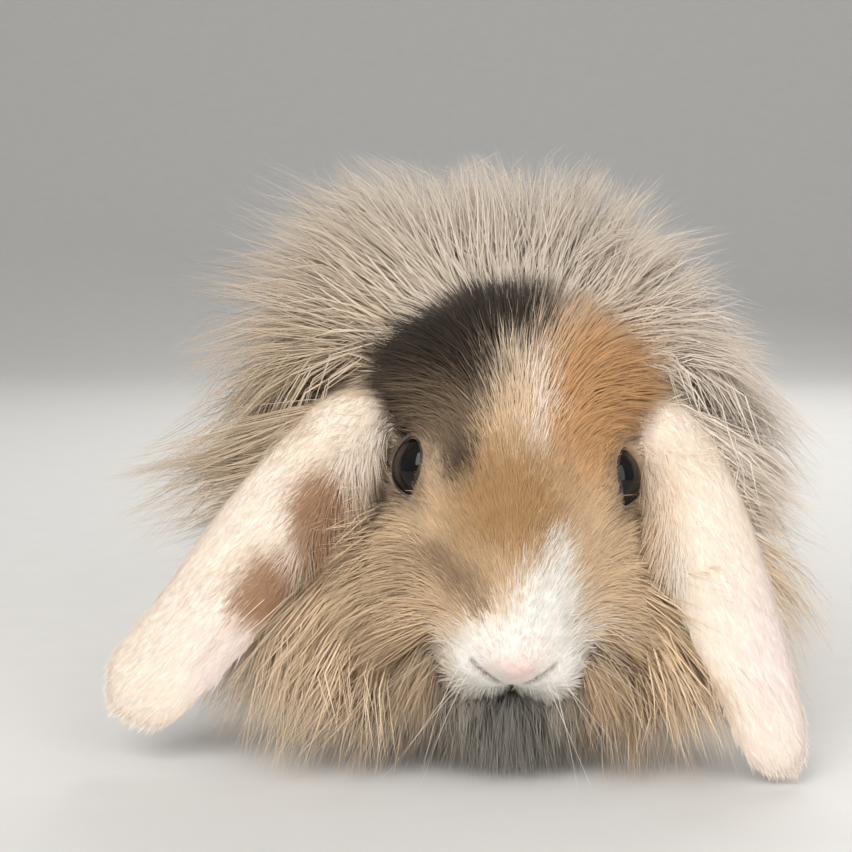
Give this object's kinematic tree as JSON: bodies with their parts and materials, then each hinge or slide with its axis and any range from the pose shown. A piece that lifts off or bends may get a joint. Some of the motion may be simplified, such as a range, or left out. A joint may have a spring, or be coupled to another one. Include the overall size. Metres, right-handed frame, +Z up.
{
  "type": "lop-eared lionhead rabbit",
  "caption": "Life-size crouching lop-eared rabbit with a full mane round its head, hanging ears, a low head, tucked paws and a round body.",
  "frame": {"origin": "on the floor, at the middle of the small flat where the belly fur rests", "axes": "+Z up, +Y from the nose to the tail, +X to the rabbit's own left"},
  "size_m": [0.1871, 0.3031, 0.1578],
  "materials": {
    "head_fur": "short soft fur, tan with a dark brown patch and a white muzzle",
    "body_fur": "soft body fur, cream to fawn",
    "mane_wool": "long soft mane wool, cream with warmer roots",
    "ear_fur": "very short velvety fur over pink skin",
    "paw_fur": "short dense white fur, horn claws",
    "eye": "wet, glossy and nearly black"
  },
  "bodies": {
    "root": {"head": "head_fur", "neck": "body_fur", "torso": "body_fur", "tail": "body_fur", "ear_left": "ear_fur", "ear_right": "ear_fur", "eye_left": "eye", "eye_right": "eye", "foreleg_left": "paw_fur", "foreleg_right": "paw_fur", "forepaw_left": "paw_fur", "forepaw_right": "paw_fur", "haunch_left": "body_fur", "haunch_right": "body_fur", "hind_foot_left": "paw_fur", "hind_foot_right": "paw_fur", "mane_crown": "mane_wool", "mane_left": "mane_wool", "mane_right": "mane_wool", "ruff_left": "mane_wool", "ruff_right": "mane_wool", "bib": "mane_wool"}
  },
  "joints": []
}
